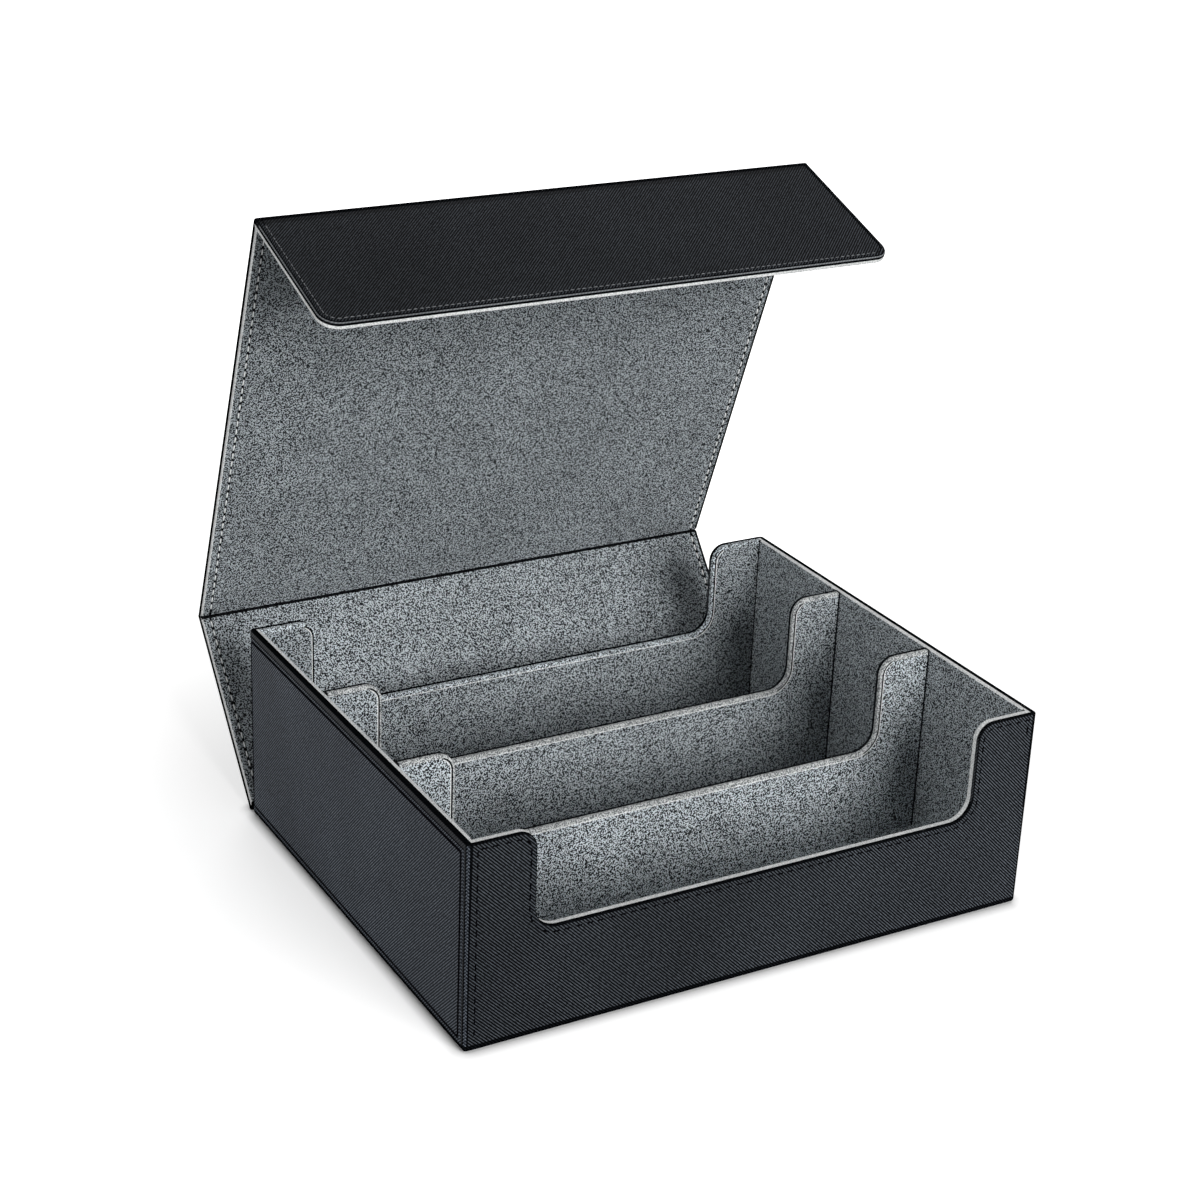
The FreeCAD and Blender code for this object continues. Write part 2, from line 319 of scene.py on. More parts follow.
coated_cloth = make_coated_cloth("coated_cloth", (0.0008, 0.001, 0.0013), (0.126, 0.144, 0.168))
# The cover's cloth is a darker copy of the tray's, which paints shade on the cover.
cover_cloth_shaded_copy = make_coated_cloth("cover_cloth_shaded_copy", (0.0008, 0.001, 0.0013), (0.075, 0.084, 0.098))
# A paler, bluer copy of the same cloth: painted light on the end panels, and painted highlights on the ridges
# and the left corners.
panel_cloth = make_coated_cloth("panel_cloth", (0.013, 0.016, 0.022), (0.224, 0.256, 0.302))
shaded_cloth = make_coated_cloth("shaded_cloth", (0.0008, 0.001, 0.0013), (0.037, 0.041, 0.048))
margin_cloth = make_coated_cloth("margin_cloth", (0.022, 0.024, 0.027), (0.069, 0.075, 0.083))
# A near-black copy that paints the shade on turned edges, steep rounds, the foot and the folds.
painted_shade_cloth = make_coated_cloth("painted_shade_cloth", (0.0012, 0.0014, 0.0018), (0.013, 0.015, 0.018), 0.0)
# A pale copy that paints a highlight on one facet of the flap's rounded edge.
painted_highlight_cloth = make_coated_cloth("painted_highlight_cloth", (0.16, 0.17, 0.18), (0.3, 0.315, 0.33))
print("coated cloth with ribs every", round(RIB_PITCH / MM, 2), "mm")

# %% [markdown]
# The lining is a napped cloth like suede. Close up it is a salt-and-pepper of lit and shaded fibre tips,
# and from further off it has soft clouds where the nap lies another way. Two noises give these two scales.
# The finer one is turned askew, because a noise fades on a sheet that lies along its own grid. Each sheet
# takes its own share of the greys, a little paler or darker than its neighbour, which paints the light and
# shade that fall on it. The cover's lining is a darker copy that paints shade. Turned edges and rims get
# much paler finishes of the same kind: partly the open fibres of the turned cloth, partly painted
# highlights. A near-black finish of it paints the shade in creases, corners, pressed lines and seams.

# %% Napped lining
FIBRE_GRAIN, CLOUD_GRAIN = 1550, 42
NAP_TURN = (0.6, 0.5, 0.4)
NAP_RELIEF = 0.25 * MM


def make_nap(name, shade, middle, tip, sheen=0.12):
    """Napped cloth from three greys: between the fibres, on them and at their tips."""
    finish, nodes, links = new_finish(name)
    shader = nodes["Principled BSDF"]
    place = nodes.new("ShaderNodeTexCoord").outputs["Object"]
    askew = nodes.new("ShaderNodeMapping")
    askew.inputs["Rotation"].default_value = NAP_TURN
    links.new(place, askew.inputs["Vector"])
    fibres = noise(nodes, links, askew.outputs["Vector"], FIBRE_GRAIN, 0)
    clouds = noise(nodes, links, place, CLOUD_GRAIN, 4, 0.6)
    tint = ramp(nodes, links, fibres, [(0.45, shade), (0.5, middle), (0.55, tip)])
    cast = ramp(nodes, links, clouds, [(0.3, 0.8), (0.7, 1.0)])
    links.new(times(nodes, links, tint, cast), shader.inputs["Base Color"])
    links.new(bump(nodes, links, fibres, NAP_RELIEF, 0.6), shader.inputs["Normal"])
    shader.inputs["Roughness"].default_value = 0.95
    shader.inputs["Specular IOR Level"].default_value = sheen
    shader.inputs["Sheen Weight"].default_value = sheen
    shader.inputs["Sheen Roughness"].default_value = 0.5
    return finish


LINING_GREYS = (0.015, 0.017, 0.019), (0.186, 0.207, 0.22), (0.68, 0.746, 0.786)


def make_lit_or_shaded_nap(name, share):
    """The lining's greys scaled by a share: a paler or darker copy that paints the light and shade on its
    sheet.
    """
    return make_nap(name, *(tuple(c * share for c in grey) for grey in LINING_GREYS))


# Each share paints the light and shade that fall on its sheet. The back wall's rim is a paler copy that
# paints a highlight.
napped_lining = make_lit_or_shaded_nap("napped_lining", 1.0)
wall_nap = {"front": napped_lining, "back": make_lit_or_shaded_nap("back_wall_nap", 0.78)}
divider_nap = {"front": make_lit_or_shaded_nap("front_divider_nap", 1.03),
               "rear": make_lit_or_shaded_nap("rear_divider_nap", 0.86)}
end_nap = make_lit_or_shaded_nap("end_nap", 0.84)
panel_nap = {"back_panel": make_lit_or_shaded_nap("back_panel_nap", 0.84)}
back_rim = make_lit_or_shaded_nap("back_rim_nap", 1.2)
# The cover's lining is a darker copy that paints shade. The rim and edge finishes are paler copies that paint
# highlights, partly the open fibres of turned cloth too, and the near-black finish paints shade.
cover_nap = make_nap("cover_nap", (0.01, 0.012, 0.014), (0.12, 0.134, 0.142), (0.475, 0.523, 0.552))
napped_rim = make_nap("napped_rim", (0.17, 0.18, 0.185), (0.42, 0.44, 0.445), (0.72, 0.74, 0.74))
napped_edge = make_nap("napped_edge", (0.66, 0.68, 0.68), (0.84, 0.86, 0.86), (0.96, 0.97, 0.97))
napped_shade = make_nap("napped_shade", (0.003, 0.003, 0.004), (0.008, 0.009, 0.01), (0.02, 0.022, 0.024),
                        sheen=0.0)
print(sum("nap" in f.name for f in bpy.data.materials), "napped finishes")

# %% [markdown]
# The small finishes: thread for the seams, a black border on the pasted end panels, grey board, and the
# steel of the magnets. The tray's thread is a darker copy that paints shade, and the cover's is a lighter
# copy that paints the light it catches. The black border paints the shade of the panels' step. Boards and
# magnets are hidden in the closed box, but each still has its own grain, because a part may be looked at
# by itself.

# %% Thread, edge paint, board and magnet


def make_grained(name, low, high, scale, stretch, roughness, metal=0.0, relief=0.05 * MM, gloss_level=0.3):
    """A finish with one grain, stretched along X, Y or Z."""
    finish, nodes, links = new_finish(name)
    shader = nodes["Principled BSDF"]
    place = nodes.new("ShaderNodeTexCoord").outputs["Object"]
    drawn = nodes.new("ShaderNodeMapping")
    drawn.inputs["Scale"].default_value = stretch
    links.new(place, drawn.inputs["Vector"])
    grain = noise(nodes, links, drawn.outputs["Vector"], scale, 4, 0.6)
    links.new(ramp(nodes, links, grain, [(0.3, low), (0.7, high)]), shader.inputs["Base Color"])
    links.new(bump(nodes, links, grain, relief, 0.4), shader.inputs["Normal"])
    shader.inputs["Roughness"].default_value = roughness
    shader.inputs["Metallic"].default_value = metal
    shader.inputs["Specular IOR Level"].default_value = gloss_level
    return finish


# The tray's thread is a darker copy that paints shade. The cover's grey thread is a lighter copy that paints
# the light it catches.
shaded_thread = make_grained("shaded_thread", (0.0005, 0.0005, 0.001), (0.003, 0.003, 0.004), 900, (1, 1, 1), 0.9,
                           gloss_level=0.0)
lit_thread = make_grained("lit_thread", (0.03, 0.032, 0.036), (0.22, 0.232, 0.245), 900, (1, 1, 1), 0.5)
pale_thread = make_grained("pale_thread", (0.7, 0.72, 0.725), (0.95, 0.97, 0.97), 900, (1, 1, 1), 0.6)
step_shade_black = make_grained("step_shade_black", (0.002, 0.002, 0.003), (0.006, 0.006, 0.008), 300, (1, 1, 1), 0.8,
                          gloss_level=0.0)
grey_board = make_grained("grey_board", (0.27, 0.255, 0.235), (0.42, 0.4, 0.37), 260, (1, 1, 4), 0.9)
magnet_steel = make_grained("magnet_steel", (0.5, 0.5, 0.52), (0.7, 0.7, 0.72), 500, (0.1, 1, 1), 0.35,
                            metal=1.0, relief=0.01 * MM)
print(len(bpy.data.materials), "materials")

# %% [markdown]
# Modelling tools
#
# Each piece starts as a primitive at its own size and place, and is shaped in edit mode. These helpers are
# the hand movements that come back all the time: start a block, choose faces or edges by where they are,
# cut by a plane, round edges, press a seam, and give a sheet its thickness.

# %% Hand movements


def start_block(name, low, high):
    """A cube stretched between two corners, opened in edit mode."""
    bpy.ops.object.select_all(action="DESELECT")
    low, high = Vector(low), Vector(high)
    bpy.ops.mesh.primitive_cube_add(size=1, location=(low + high) / 2)
    piece = bpy.context.object
    piece.name = name
    piece.scale = high - low
    bpy.ops.object.transform_apply(location=True, rotation=True, scale=True)
    bpy.ops.object.mode_set(mode="EDIT")
    return piece


def start_sheet(name, middle, width, length, turn):
    """A plane of a width along X and a length across it, turned about X, opened in edit mode."""
    bpy.ops.object.select_all(action="DESELECT")
    bpy.ops.mesh.primitive_plane_add(size=1, location=middle, rotation=(turn, 0, 0))
    piece = bpy.context.object
    piece.name = name
    piece.scale = (width, length, 1)
    bpy.ops.object.transform_apply(location=True, rotation=True, scale=True)
    bpy.ops.object.mode_set(mode="EDIT")
    return piece


def near(a, b, reach=0.02 * MM):
    return abs(a - b) < reach


def mid(part):
    """The middle of a vertex, an edge or a face."""
    corners = getattr(part, "verts", None) or [part]
    return sum((v.co for v in corners), Vector()) / len(corners)


def pick(kind, test):
    """Selects the vertices, edges or faces that pass a test, and only those."""
    bpy.ops.mesh.select_mode(type=kind)
    bpy.ops.mesh.select_all(action="DESELECT")
    mesh = bpy.context.object.data
    shape = bmesh.from_edit_mesh(mesh)
    shape.normal_update()
    for part in {"VERT": shape.verts, "EDGE": shape.edges, "FACE": shape.faces}[kind]:
        if test(part):
            part.select_set(True)
    bmesh.update_edit_mesh(mesh)


def drop(test):
    """Deletes the faces that pass a test."""
    pick("FACE", test)
    bpy.ops.mesh.delete(type="FACE")


def cut(place, keep=None, normal=None, fill=False):
    """Cuts the piece by a plane. With keep, the plane faces that way and what lies behind it goes."""
    bpy.ops.mesh.select_all(action="SELECT")
    facing = Vector(keep or normal).normalized()
    bpy.ops.mesh.bisect(plane_co=place, plane_no=facing, clear_inner=keep is not None, use_fill=fill)


def pull(kind, test, way):
    """Extrudes what passes a test by a vector."""
    pick(kind, test)
    bpy.ops.mesh.extrude_region_move(TRANSFORM_OT_translate={"value": way})


def round_edges(test, radius, steps):
    pick("EDGE", test)
    bpy.ops.mesh.bevel(offset_type="OFFSET", offset=radius, segments=steps, profile=0.5, affect="EDGES")


def round_corners(test, radius, steps):
    """Rounds corners within a flat face."""
    pick("VERT", test)
    bpy.ops.mesh.bevel(offset_type="OFFSET", offset=radius, segments=steps, profile=0.5, affect="VERTICES")


# %% [markdown]
# A seam is sewn a few millimetres in from an edge. The thread pulls the cloth down into a narrow channel,
# and the hem between the seam and the edge stays slightly fuller. Four insets of the face give this: the
# hem's shoulder, the hem, one side of the channel and the other side. The line at the channel's bottom is
# kept for the stitches.

# %% Seams and finishing
HEM_RISE = 0.16 * MM
SEAM_DEPTH = 0.42 * MM
SEAM_WIDTH = 1.3 * MM
SEAM_SETBACK = 2.9 * MM
SEAM_MARK = 1


def mark_ring(mark):
    """Marks the faces that lie round the selected ones, and returns the first selected one."""
    fields = [f for f in bmesh.from_edit_mesh(bpy.context.object.data).faces if f.select]
    for field in fields:
        for edge in field.edges:
            for face in edge.link_faces:
                if not face.select:
                    face.material_index = mark
    return fields[0]


def press_seam(setback, shoulder=0.7 * MM):
    """Presses a seam into the selected face, and returns the closed line that its stitches follow."""
    bpy.ops.mesh.inset(thickness=shoulder, depth=HEM_RISE)
    bpy.ops.mesh.inset(thickness=setback - shoulder - SEAM_WIDTH / 2)
    bpy.ops.mesh.inset(thickness=SEAM_WIDTH / 2, depth=-SEAM_DEPTH)
    line = [corner.vert.co.copy() for corner in mark_ring(SEAM_MARK).loops]
    bpy.ops.mesh.inset(thickness=SEAM_WIDTH / 2, depth=SEAM_DEPTH - HEM_RISE)
    mark_ring(SEAM_MARK)
    return line


def apply_modifier(piece, kind, **settings):
    modifier = piece.modifiers.new(kind.lower(), kind)
    for name, value in settings.items():
        setattr(modifier, name, value)
    bpy.ops.object.modifier_apply(modifier=modifier.name)


def thicken(piece, depth, even=True):
    """Gives a sheet its thickness, away from the side that its normals show."""
    bpy.ops.object.mode_set(mode="OBJECT")
    apply_modifier(piece, "SOLIDIFY", thickness=depth, offset=-1, use_even_offset=even)
    bpy.ops.object.mode_set(mode="EDIT")


def finish_shape(piece, arris=0.0):
    """Eases sharp edges, lays the UV map flat on each side, and shades flat faces flat and rounds smooth."""
    bpy.ops.object.mode_set(mode="OBJECT")
    if arris:
        apply_modifier(piece, "BEVEL", width=arris, segments=2, limit_method="ANGLE",
                       angle_limit=math.radians(55))
    bpy.ops.object.mode_set(mode="EDIT")
    bpy.ops.mesh.select_all(action="SELECT")
    bpy.ops.uv.cube_project(cube_size=1, correct_aspect=False, clip_to_bounds=False, scale_to_bounds=False)
    bpy.ops.object.mode_set(mode="OBJECT")
    bpy.ops.object.shade_smooth_by_angle(angle=math.radians(36))
    apply_modifier(piece, "WEIGHTED_NORMAL", keep_sharp=True)


def dress(piece, finish, *others):
    """Gives a piece its finish. The others are pairs of a finish and a test for the faces that take it."""
    chosen = []
    for face in piece.data.polygons:
        chosen.append(next((k + 1 for k, (other, test) in enumerate(others) if test(face)), 0))
    piece.data.materials.clear()
    for material in [finish] + [other for other, test in others]:
        piece.data.materials.append(material)
    piece.data.polygons.foreach_set("material_index", chosen)


def hand_over(piece, body, slot, *stands_for):
    """Lets a piece ride on its body, in place of the CAD nodes that it stands for; the slot is not used."""
    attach(piece, body)
    if stands_for:
        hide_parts(*stands_for)
    print(piece.name, "-", len(piece.data.polygons), "faces")


# %% [markdown]
# The stitch is modelled once: a short six-sided thread whose two ends taper and dip into the cloth. Each
# seam gets its own copies of it, a step apart, each turned along the seam and slightly out of true, as sewn
# thread is.

# %% One stitch
STITCH_PITCH = 4.1 * MM
THREAD = 0.75 * MM
STITCH_BODY = 1.8 * MM
STITCH_TIP = 0.6 * MM
STITCH_SWAY = 0.07
LIFT = 0.24 * THREAD

bpy.ops.object.select_all(action="DESELECT")
bpy.ops.mesh.primitive_cylinder_add(vertices=6, radius=THREAD / 2, depth=STITCH_BODY,
                                    rotation=(0, math.pi / 2, 0))
stitch = bpy.context.object
stitch.name = "stitch_pattern"
bpy.ops.object.transform_apply(location=True, rotation=True, scale=True)
bpy.ops.object.mode_set(mode="EDIT")
for way in (-1, 1):
    pull("FACE", lambda f: f.normal.x * way > 0.9, (way * STITCH_TIP, 0, -0.4 * THREAD))
    tip = mid(next(f for f in bmesh.from_edit_mesh(stitch.data).faces if f.select))
    bpy.ops.transform.resize(value=(1, 0.4, 0.4), center_override=tip)
bpy.ops.object.mode_set(mode="OBJECT")
bpy.ops.object.shade_smooth_by_angle(angle=math.radians(65))
sewing = random.Random(7)
print("one stitch has", len(stitch.data.polygons), "faces")


def sew(name, line, facing, finish, keep, size=1.0, lift=LIFT):
    """Lays copies of the stitch along a closed line on a face, where keep allows, and joins them."""
    facing = Vector(facing)
    copies, walked, due = [], 0.0, 0.0
    for start, end in zip(line, line[1:] + line[:1]):
        run = (end - start).length
        while due < walked + run:
            point = start.lerp(end, (due - walked) / run)
            along = (end - start).normalized()
            turn = Matrix.Rotation(sewing.uniform(-STITCH_SWAY, STITCH_SWAY), 4, facing)
            due += STITCH_PITCH * size
            if keep(point):
                copy = stitch.copy()
                copy.data = stitch.data.copy()
                lie = turn @ Matrix((along, facing.cross(along), facing)).transposed().to_4x4()
                copy.data.transform(Matrix.Translation(point + facing * lift) @ lie @ Matrix.Scale(size, 4))
                bpy.context.collection.objects.link(copy)
                copies.append(copy)
        walked += run
    bpy.ops.object.select_all(action="DESELECT")
    for copy in copies:
        copy.select_set(True)
    bpy.context.view_layer.objects.active = copies[0]
    bpy.ops.object.join()
    copies[0].name = name
    dress(copies[0], finish)
    return copies[0]


# %% [markdown]
# The tray's skin
#
# One sheet of coated cloth goes round the whole tray. It is turned under at the foot, follows the notch of
# the front and back walls, and is turned over the top of the two ends. It could be four separate plates,
# but then every corner would show a joint. So it starts as one block without a top, whose upright corners
# are rounded, and the two notches are cut into it. The sizes are read from the CAD boards and cloths that
# it covers. On each end a fine ridge frames the place of the pasted panel, and its paler cloth paints a
# highlight. A pale strip on each left corner is a painted highlight. The rounded corners, turned tops
# and foot take a near-black copy of the cloth that paints their shade. The seam has no stitches on the
# upright run at the right.

# %% Sizes of the tray
skin_low, skin_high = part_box("front_wall_skin")
floor_low, floor_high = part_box("front_row_floor_lining")
HALF_LENGTH, HALF_DEPTH, TRAY_TOP, SKIN = skin_high.x, -skin_low.y, skin_high.z, skin_low.z
ROOM_LENGTH, ROOM_DEPTH, FLOOR_BOTTOM = floor_high.x, -floor_low.y, floor_low.z
LINING = floor_high.z - floor_low.z
CROSS_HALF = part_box("front_wall_lining")[1].x
NOTCH_LOW, NOTCH_HALF = 52 * MM, HALF_LENGTH - 32.5 * MM
TAB_RADIUS, NOTCH_RADIUS = 8.5 * MM, 11 * MM
CORNER_RADIUS, FOOT_RADIUS, FOOT = 1.9 * MM, 1.7 * MM, 0.4 * MM
TURN_OVER, BACK_TURN, END_TURN = 1.8 * MM, 2.3 * MM, 2.6 * MM
SPARE = 12 * MM
ARC_STEPS = 8
RIDGE, RIDGE_WIDTH, RIDGE_EDGE = 0.3 * MM, 2.0 * MM, 0.3 * MM
print("tray", round(2 * HALF_LENGTH / MM), "x", round(2 * HALF_DEPTH / MM), "x", round(TRAY_TOP / MM), "mm")

# %% Skin round the tray


def cut_notch(on_wall):
    """Cuts the shared notch into the flat faces that pass a test, and rounds its corners."""
    for place, normal in ((-NOTCH_HALF, (1, 0, 0)), (NOTCH_HALF, (1, 0, 0)), (NOTCH_LOW, (0, 0, 1))):
        pick("FACE", on_wall)
        bpy.ops.mesh.bisect(plane_co=Vector(normal) * place, plane_no=normal)
    drop(lambda f: on_wall(f) and abs(mid(f).x) < NOTCH_HALF and mid(f).z > NOTCH_LOW)
    pick("FACE", on_wall)
    bpy.ops.mesh.dissolve_limited(angle_limit=math.radians(0.5))
    for height, radius in ((TRAY_TOP, TAB_RADIUS), (NOTCH_LOW, NOTCH_RADIUS)):
        round_corners(lambda v: near(abs(v.co.x), NOTCH_HALF) and near(v.co.z, height)
                      and any(on_wall(f) for f in v.link_faces), radius, ARC_STEPS)


tray_skin = start_block("tray_skin", (-HALF_LENGTH, -HALF_DEPTH, -SPARE), (HALF_LENGTH, HALF_DEPTH, TRAY_TOP))
drop(lambda f: abs(f.normal.z) > 0.5)
round_edges(lambda e: abs(e.verts[0].co.z - e.verts[1].co.z) > SPARE, CORNER_RADIUS, 4)
wall_seams = {}
for way in (-1, 1):
    cut_notch(lambda f: f.normal.y * way > 0.999)
    pick("FACE", lambda f: f.normal.y * way > 0.999)
    wall_seams[way] = press_seam(SEAM_SETBACK)
    pick("FACE", lambda f: f.normal.x * way > 0.999)
    bpy.ops.mesh.inset(thickness=RIDGE_EDGE)
    low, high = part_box("right_side_panel")
    for corner in next(f for f in bmesh.from_edit_mesh(tray_skin.data).faces if f.select).verts:
        corner.co.y = max(corner.co.y, low.y - RIDGE_WIDTH)
        corner.co.z = min(max(corner.co.z, low.z - RIDGE_WIDTH), high.z + RIDGE_WIDTH)
    for thickness, depth in ((RIDGE, RIDGE), (RIDGE_WIDTH - 2.4 * RIDGE, 0), (RIDGE, -RIDGE)):
        bpy.ops.mesh.inset(thickness=thickness, depth=depth)
cut((0, 0, FOOT), keep=(0, 0, 1))
print("skin with", len(bmesh.from_edit_mesh(tray_skin.data).faces), "faces before it is turned in")

# %% [markdown]
# The seams run down to the foot and fade out above it. There the skin is flattened again, closed underneath
# and rounded. The top border is extruded and pushed inwards all round, so that the skin is turned over the
# boards.

# %% Foot and turned tops
SEAM_END, SEAM_FADE = 3.6 * MM, 6.5 * MM
BELOW_SEAM = SEAM_END + 0.1 * MM
TOP_RADIUS = 0.55 * MM
SKIN_ARRIS = 0.25 * MM
for height in (SEAM_END, SEAM_FADE):
    cut((0, 0, height), normal=(0, 0, 1))
for way in (-1, 1):
    pick("VERT", lambda v: v.co.z < BELOW_SEAM and abs(v.co.y - way * HALF_DEPTH) < MM
         and abs(v.co.x) < HALF_LENGTH - 0.9 * CORNER_RADIUS)
    bpy.ops.transform.resize(value=(1, 0, 1), center_override=(0, way * HALF_DEPTH, 0))
    pick("VERT", lambda v: v.co.z < BELOW_SEAM and abs(v.co.x - way * HALF_LENGTH) < MM
         and abs(v.co.y) < HALF_DEPTH - 0.9 * CORNER_RADIUS)
    bpy.ops.transform.resize(value=(0, 1, 1), center_override=(way * HALF_LENGTH, 0, 0))
pick("EDGE", lambda e: e.is_boundary and near(mid(e).z, FOOT))
bpy.ops.mesh.edge_face_add()
pick("FACE", lambda f: mid(f).z < SEAM_END)
bpy.ops.mesh.dissolve_limited(angle_limit=math.radians(0.5), use_dissolve_boundaries=True)
round_edges(lambda e: not e.is_boundary and near(e.verts[0].co.z, FOOT) and near(e.verts[1].co.z, FOOT),
            FOOT_RADIUS, 4)
pull("EDGE", lambda e: e.is_boundary and mid(e).z > NOTCH_LOW - MM, (0, 0, 0))
for corner in bmesh.from_edit_mesh(tray_skin.data).verts:
    if corner.select:
        corner.co.x = min(max(corner.co.x, END_TURN - HALF_LENGTH), HALF_LENGTH - END_TURN)
        corner.co.y = min(max(corner.co.y, TURN_OVER - HALF_DEPTH), HALF_DEPTH - BACK_TURN)
bmesh.update_edit_mesh(tray_skin.data)
round_edges(lambda e: not e.is_boundary and mid(e).z > NOTCH_LOW - MM
            and e.calc_face_angle(0) > math.radians(70), TOP_RADIUS, 3)
bpy.ops.mesh.select_all(action="SELECT")
bpy.ops.mesh.normals_make_consistent(inside=False)
thicken(tray_skin, SKIN)
finish_shape(tray_skin, SKIN_ARRIS)


def in_seam(face):
    return face.material_index == SEAM_MARK and face.center.z > SEAM_END


def takes_corner_highlight(face):
    """True on the middle of the left corners, which take a painted highlight."""
    at_corner = near(face.center.x, -HALF_LENGTH, CORNER_RADIUS) and face.center.z > SEAM_END
    return at_corner and 0.4 < -face.normal.x < 0.9 and abs(face.normal.z) < 0.1


def in_painted_shade(face):
    """True where the tray's skin is turned or hidden and takes painted shade: corners, rims and the foot."""
    steepest = max(abs(c) for c in face.normal)
    at_corner = abs(face.center.x) > HALF_LENGTH - CORNER_RADIUS and abs(face.normal.z) < 0.1
    is_round = steepest < 0.97 or at_corner and steepest < 0.985
    return face.center.z < SEAM_END or face.normal.z > 0.5 or is_round


def is_end(face):
    return abs(face.normal.x) > 0.97


def on_ridge(face):
    return is_end(face) and abs(face.center.x) > HALF_LENGTH + 0.8 * RIDGE


# The pale cloth paints highlights on the left corners and ridges, and the near-black cloth paints shade on
# the rounds, rims and foot.
dress(tray_skin, coated_cloth, (coated_cloth, in_seam), (panel_cloth, takes_corner_highlight),
      (painted_shade_cloth, in_painted_shade), (panel_cloth, on_ridge), (margin_cloth, is_end))
hand_over(tray_skin, "tray", "coated_cloth",
          "front_wall_skin", "back_wall_skin", "left_wall_skin", "right_wall_skin")

UNSEWN = 8 * MM
WALL_STITCH = 1.3


def on_wall_seam(point):
    """True where the walls' seams have stitches: above the foot, and not on the upright run at the right."""
    return point.z > SEAM_FADE and (point.x < HALF_LENGTH - UNSEWN or point.z > TRAY_TOP - UNSEWN)


for way, side in ((-1, "front"), (1, "back")):
    seam = sew(side + "_wall_stitches", wall_seams[way], (0, way, 0), shaded_thread, on_wall_seam,
               WALL_STITCH, lift=0.0)
    hand_over(seam, "tray", "coated_cloth")

# %% [markdown]
# Under the tray lies the lowest run of the cover's cloth. It starts just inside the tray's front edge and
# ends behind the tray, where it becomes the fold at the foot of the cover. It is a thin block with rounded
# front corners, and its last millimetres rise a little to meet the fold, which never touches the table.

# %% Sheet under the tray
joint_places = {j["name"]: Vector(j["pos_m"]) for j in frame["joints"]}
base_fold, rear_fold, front_fold = (joint_places[n] for n in ("base_fold", "rear_fold", "front_fold"))
spine_low, spine_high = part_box("rear_fold_spine")
COVER_HALF = spine_high.x
COVER = spine_high.z - spine_low.z
ROLL = COVER / 2
SHEET_MARGIN = 1.5 * MM

base_sheet = start_block("base_sheet", (-HALF_LENGTH + SHEET_MARGIN, -HALF_DEPTH + SHEET_MARGIN, 0),
                         (HALF_LENGTH - SHEET_MARGIN, base_fold.y, SKIN))
round_edges(lambda e: mid(e).y < 0 and near(mid(e).z, SKIN / 2), CORNER_RADIUS, 4)
cut((0, HALF_DEPTH - SHEET_MARGIN, 0), normal=(0, 1, 0))
pick("EDGE", lambda e: near(mid(e).y, base_fold.y) and near(mid(e).z, 0) and near(mid(e).x, 0))
bpy.ops.transform.translate(value=(0, 0, base_fold.z - ROLL))
finish_shape(base_sheet, 0.2 * MM)
dress(base_sheet, coated_cloth)
hand_over(base_sheet, "tray", "coated_cloth", "base_skin")

# %% [markdown]
# A panel of the same cloth, in a paler copy that paints the light on it, is pasted on each end of the tray.
# It hides where the skin ends, so it has a cut edge all round. It is a flat block with rounded corners and
# an eased outer rim, and a black border along the rim paints the shade of its step.

# %% End panels
PANEL_CORNER, PANEL_EASE = 1.5 * MM, 0.45 * MM
PANEL_RIM, PANEL_SINK, STEP_SHADE_WIDTH = 0.6 * MM, 0.2 * MM, 1.1 * MM

for way, side in ((-1, "left"), (1, "right")):
    low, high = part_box(side + "_side_panel")
    panel = start_block(side + "_end_panel", low, high)
    middle, half = (low + high) / 2, (high - low) / 2
    round_edges(lambda e: near(mid(e).x, middle.x), PANEL_CORNER, 4)
    outer = way * max(abs(low.x), abs(high.x))
    round_edges(lambda e: near(mid(e).x, outer), PANEL_EASE, 3)
    pick("FACE", lambda f: f.normal.x * way > 0.999)
    bpy.ops.mesh.inset(thickness=PANEL_RIM, depth=-PANEL_SINK)
    finish_shape(panel)
    # The black border within the panel's edge paints the shade of its step.
    dress(panel, panel_cloth, (step_shade_black, lambda f: abs(f.center.y - middle.y) > half.y - STEP_SHADE_WIDTH
                               or abs(f.center.z - middle.z) > half.z - STEP_SHADE_WIDTH))
    hand_over(panel, "tray", "coated_cloth", side + "_side_panel")

# %% [markdown]
# The linings
#
# Every wall inside is covered in napped cloth that is turned over the board's top. The front and back walls
# and the two dividers share one outline, so one function draws it: a plane is cut by three planes, the
# middle is taken out, and the corners are rounded. Pulling the outline across the board's thickness makes
# the turned top, and a rounded fold along it gives the soft rim that catches the light. Its paler finish
# paints that highlight too. Below the rim a hem follows the outline, with a pressed line and a pale edge,
# made by insets that mark their faces. The line's near-black finish paints the shade in its groove, the
# pale edge paints a highlight, and near-black strips paint the shade where linings meet in the corners. On
# a divider the far edge of the top is dark.

# %% Notched linings
RIM = 0.6 * MM
CORNER_STRIP = 1.0 * MM
HEM, HEM_LINE, HEM_EDGE = 1.1 * MM, 0.4 * MM, 0.5 * MM
HEM_MARK, LINE_MARK, EDGE_MARK = 1, 2, 3
HEM_STEPS = ((HEM, 0, HEM_MARK), (HEM_LINE, -HEM_LINE / 2, LINE_MARK), (HEM_LINE, HEM_LINE / 2, LINE_MARK),
             (HEM_EDGE, 0, EDGE_MARK))
FAR_LINE = 2.0 * MM


def start_notched(name, half, y):
    """An upright sheet with the shared notch, too wide and too low, that faces the front, in edit mode."""
    height = TRAY_TOP - FLOOR_BOTTOM + SPARE
    piece = start_sheet(name, (0, y, TRAY_TOP - height / 2), 2 * (half + SPARE), height, math.pi / 2)
    cut_notch(lambda f: abs(f.normal.y) > 0.9)
    return piece


